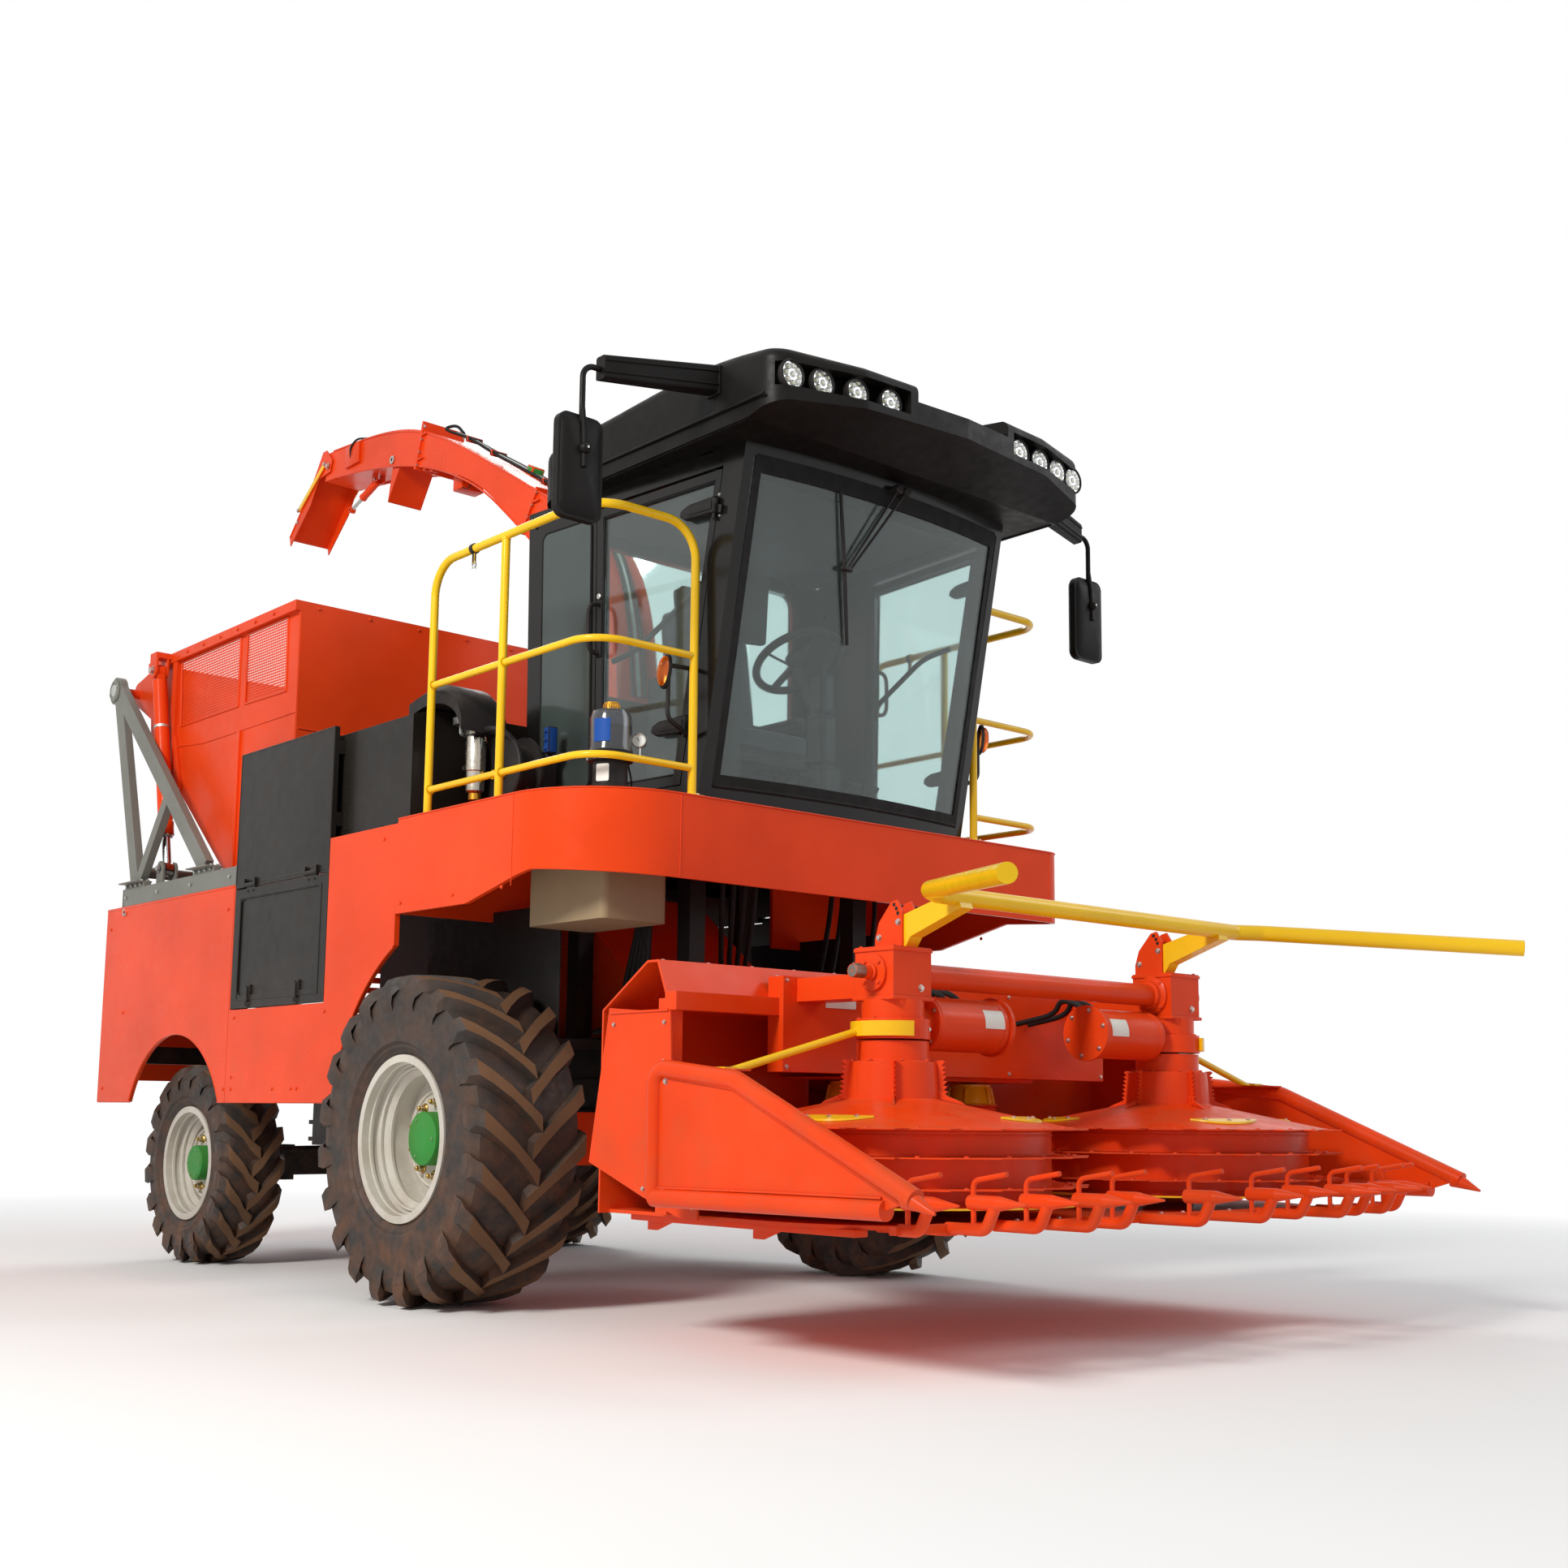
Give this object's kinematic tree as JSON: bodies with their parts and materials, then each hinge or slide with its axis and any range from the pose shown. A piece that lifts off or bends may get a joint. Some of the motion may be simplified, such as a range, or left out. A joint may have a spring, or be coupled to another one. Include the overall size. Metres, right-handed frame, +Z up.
{
  "type": "self-propelled forage harvester",
  "caption": "Self-propelled forage harvester with a raised drum header, a cab over large front wheels, an arched discharge spout and a rear bin that tips.",
  "frame": {"origin": "on the ground under the middle of the whole machine's bounding box", "axes": "+X forward along the machine, +Y to the driver's left, +Z up"},
  "size_m": [7.0319, 3.1, 4.743],
  "materials": {
    "orange_paint": "semi-gloss",
    "orange_bin_paint": "semi-gloss",
    "dark_panel": "satin",
    "grey_frame": "satin",
    "yellow_paint": "gloss",
    "black_steel": "satin",
    "cast_black": "rough",
    "engine_grey": "rough",
    "cab_grey": "satin",
    "roof_plastic": "matt",
    "mirror_plastic": "matt",
    "cab_glass": "tinted",
    "lamp_glass": "clear",
    "tyre_rubber": "matt",
    "rim_paint": "semi-gloss",
    "seat_fabric": "woven",
    "interior_plastic": "matt",
    "tan_paint": "satin",
    "clear_plastic": "translucent",
    "chrome_rod": "polished"
  },
  "bodies": {
    "chassis": {"main_frame": "black_steel", "front_axle": "orange_paint", "rear_axle": "black_steel", "engine_block": "engine_grey", "chopper_housing": "orange_paint", "body_panels": "orange_paint", "engine_hood": "dark_panel", "hood_sides": "dark_panel", "deck": "orange_paint", "toolbox": "tan_paint", "railings": "yellow_paint", "lubricator": "clear_plastic", "cab_frame": "cab_grey", "cab_glass": "cab_glass", "cab_roof": "roof_plastic", "driver_seat": "seat_fabric", "driver_controls": "interior_plastic", "mirrors": "mirror_plastic", "work_lights": "lamp_glass", "lift_frame": "grey_frame", "cylinder_feet": "grey_frame"},
    "header": {"feeder_house": "orange_paint", "header_frame": "orange_paint", "header_drive": "orange_paint", "crop_guides": "orange_paint", "dividers": "orange_paint", "header_stays": "yellow_paint", "push_bar": "yellow_paint"},
    "rotor_right": {"rotor_right": "orange_paint"},
    "rotor_left": {"rotor_left": "orange_paint"},
    "feed_roller_right": {"feed_roller_right": "orange_paint"},
    "feed_roller_left": {"feed_roller_left": "orange_paint"},
    "spout": {"spout": "orange_paint"},
    "spout_flap": {"spout_flap": "orange_paint"},
    "bin": {"bin": "orange_bin_paint"},
    "barrel_right": {"bin_barrel_right": "orange_paint"},
    "barrel_left": {"bin_barrel_left": "orange_paint"},
    "rod_right": {"bin_rod_right": "chrome_rod"},
    "rod_left": {"bin_rod_left": "chrome_rod"},
    "knuckle_right": {"knuckle_right": "cast_black"},
    "knuckle_left": {"knuckle_left": "cast_black"},
    "front_wheel_right": {"front_tyre_right": "tyre_rubber", "front_rim_right": "rim_paint"},
    "front_wheel_left": {"front_tyre_left": "tyre_rubber", "front_rim_left": "rim_paint"},
    "rear_wheel_right": {"rear_tyre_right": "tyre_rubber", "rear_rim_right": "rim_paint"},
    "rear_wheel_left": {"rear_tyre_left": "tyre_rubber", "rear_rim_left": "rim_paint"},
    "door_right": {"door_right": "cab_grey", "door_glass_right": "cab_glass"},
    "door_left": {"door_left": "cab_grey", "door_glass_left": "cab_glass"},
    "access_door_right": {"access_door_right": "dark_panel"},
    "access_door_left": {"access_door_left": "dark_panel"}
  },
  "joints": [
    {"name": "header_lift", "type": "hinge", "parent": "chassis", "child": "header", "pos_m": [0.859, 0, 1.01], "axis": [0, -1, 0], "range_deg": [-11, 14]},
    {"name": "rotor_right_spin", "type": "hinge", "parent": "header", "child": "rotor_right", "pos_m": [2.389, -0.76, 0.7], "axis": [0, 0, 1], "continuous": true},
    {"name": "rotor_left_spin", "type": "hinge", "parent": "header", "child": "rotor_left", "pos_m": [2.389, 0.76, 0.7], "axis": [0, 0, 1], "continuous": true},
    {"name": "feed_roller_right_spin", "type": "hinge", "parent": "header", "child": "feed_roller_right", "pos_m": [1.749, -0.33, 0.7], "axis": [0, 0, 1], "continuous": true},
    {"name": "feed_roller_left_spin", "type": "hinge", "parent": "header", "child": "feed_roller_left", "pos_m": [1.749, 0.33, 0.7], "axis": [0, 0, 1], "continuous": true},
    {"name": "spout_slew", "type": "hinge", "parent": "chassis", "child": "spout", "pos_m": [-0.216, 0, 2.6], "axis": [0, 0, 1], "range_deg": [-95, 95]},
    {"name": "spout_flap_tilt", "type": "hinge", "parent": "spout", "child": "spout_flap", "pos_m": [-3.041, 0, 4.635], "axis": [0, -1, 0], "range_deg": [-25, 30]},
    {"name": "bin_tip", "type": "hinge", "parent": "chassis", "child": "bin", "pos_m": [-3.021, 0, 3.03], "axis": [0, -1, 0], "range_deg": [0, 90]},
    {"name": "bin_barrel_right_swing", "type": "hinge", "parent": "bin", "child": "barrel_right", "pos_m": [-2.651, -1.263, 3.09], "axis": [0, -1, 0], "range_deg": [-85, 5]},
    {"name": "bin_rod_right_slide", "type": "slide", "parent": "barrel_right", "child": "rod_right", "axis": [0.2216, 0, -0.9751], "range_m": [-0.01, 0.45]},
    {"name": "steer_right", "type": "hinge", "parent": "chassis", "child": "knuckle_right", "pos_m": [-2.136, -0.83, 0.49], "axis": [0, 0, 1], "range_deg": [-28, 28]},
    {"name": "front_wheel_right_spin", "type": "hinge", "parent": "chassis", "child": "front_wheel_right", "pos_m": [0.299, -1.185, 0.65], "axis": [0, 1, 0], "continuous": true},
    {"name": "rear_wheel_right_spin", "type": "hinge", "parent": "knuckle_right", "child": "rear_wheel_right", "pos_m": [-2.136, -1.053, 0.49], "axis": [0, 1, 0], "continuous": true},
    {"name": "door_right_swing", "type": "hinge", "parent": "chassis", "child": "door_right", "pos_m": [1.30955, -0.76864, 2.5], "axis": [0.1858, 0, 0.9826], "range_deg": [0, 38]},
    {"name": "access_door_right_lift", "type": "hinge", "parent": "chassis", "child": "access_door_right", "pos_m": [-0.931, -1.352, 1.8], "axis": [-1, 0, 0], "range_deg": [0, 95]},
    {"name": "bin_barrel_left_swing", "type": "hinge", "parent": "bin", "child": "barrel_left", "pos_m": [-2.651, 1.263, 3.09], "axis": [0, -1, 0], "range_deg": [-85, 5]},
    {"name": "bin_rod_left_slide", "type": "slide", "parent": "barrel_left", "child": "rod_left", "axis": [0.2216, 0, -0.9751], "range_m": [-0.01, 0.45]},
    {"name": "steer_left", "type": "hinge", "parent": "chassis", "child": "knuckle_left", "pos_m": [-2.136, 0.83, 0.49], "axis": [0, 0, 1], "range_deg": [-28, 28]},
    {"name": "front_wheel_left_spin", "type": "hinge", "parent": "chassis", "child": "front_wheel_left", "pos_m": [0.299, 1.185, 0.65], "axis": [0, 1, 0], "continuous": true},
    {"name": "rear_wheel_left_spin", "type": "hinge", "parent": "knuckle_left", "child": "rear_wheel_left", "pos_m": [-2.136, 1.053, 0.49], "axis": [0, 1, 0], "continuous": true},
    {"name": "door_left_swing", "type": "hinge", "parent": "chassis", "child": "door_left", "pos_m": [1.30955, 0.76864, 2.5], "axis": [-0.1858, 0, -0.9826], "range_deg": [0, 38]},
    {"name": "access_door_left_lift", "type": "hinge", "parent": "chassis", "child": "access_door_left", "pos_m": [-0.931, 1.352, 1.8], "axis": [1, 0, 0], "range_deg": [0, 95]}
  ],
  "couplings": [
    {"joint": "rotor_left_spin", "follows": "rotor_right_spin", "ratio": -1},
    {"joint": "feed_roller_right_spin", "follows": "rotor_right_spin", "ratio": -3},
    {"joint": "feed_roller_left_spin", "follows": "rotor_right_spin", "ratio": 3},
    {"joint": "steer_left", "follows": "steer_right", "ratio": 1},
    {"joint": "spout_slew", "follows": "bin_tip", "ratio": 1.05},
    {"joint": "bin_barrel_right_swing", "follows": "bin_tip", "ratio": -0.8562},
    {"joint": "bin_rod_right_slide", "follows": "bin_tip", "m_per_rad": 0.27843},
    {"joint": "bin_barrel_left_swing", "follows": "bin_tip", "ratio": -0.8562},
    {"joint": "bin_rod_left_slide", "follows": "bin_tip", "m_per_rad": 0.27843}
  ]
}
